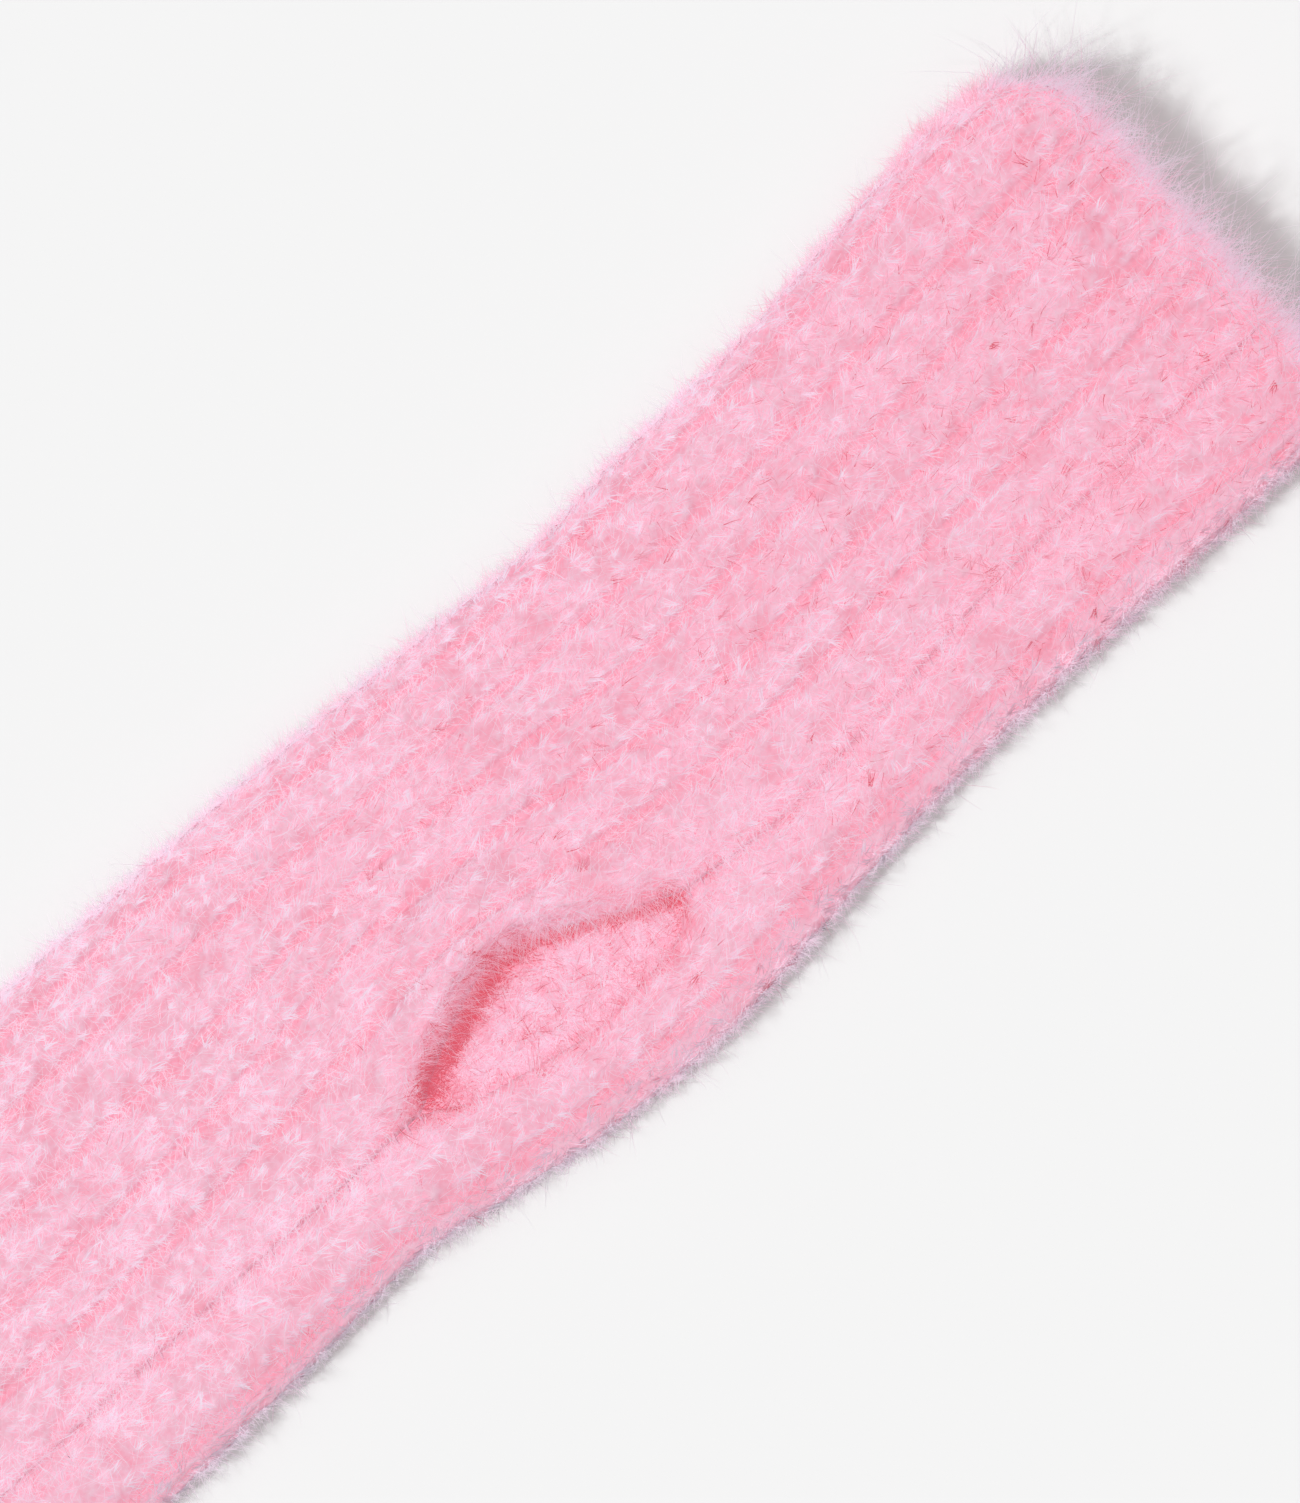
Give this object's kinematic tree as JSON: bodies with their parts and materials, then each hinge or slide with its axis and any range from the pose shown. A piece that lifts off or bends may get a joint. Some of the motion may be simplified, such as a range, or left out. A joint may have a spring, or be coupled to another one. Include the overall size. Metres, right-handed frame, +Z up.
{
  "type": "knitted arm warmer",
  "caption": "Long fluffy rib-knit arm warmer lying flat, with a thumb opening in its side seam and fine-ribbed welts at both ends.",
  "frame": {"origin": "middle of the flat underside, at the middle of the whole object's length and width", "axes": "+X along the arm warmer to its hand end, +Y across it, away from the thumb side, +Z up from the surface that it lies on"},
  "size_m": [0.37, 0.0944, 0.0153],
  "materials": {
    "brushed_pink_yarn": "rib-knitted yarn, brushed to a dense soft pile with long fine hairs, light candy pink"
  },
  "bodies": {
    "root": {"knitted_sleeve": "brushed_pink_yarn"}
  },
  "joints": []
}
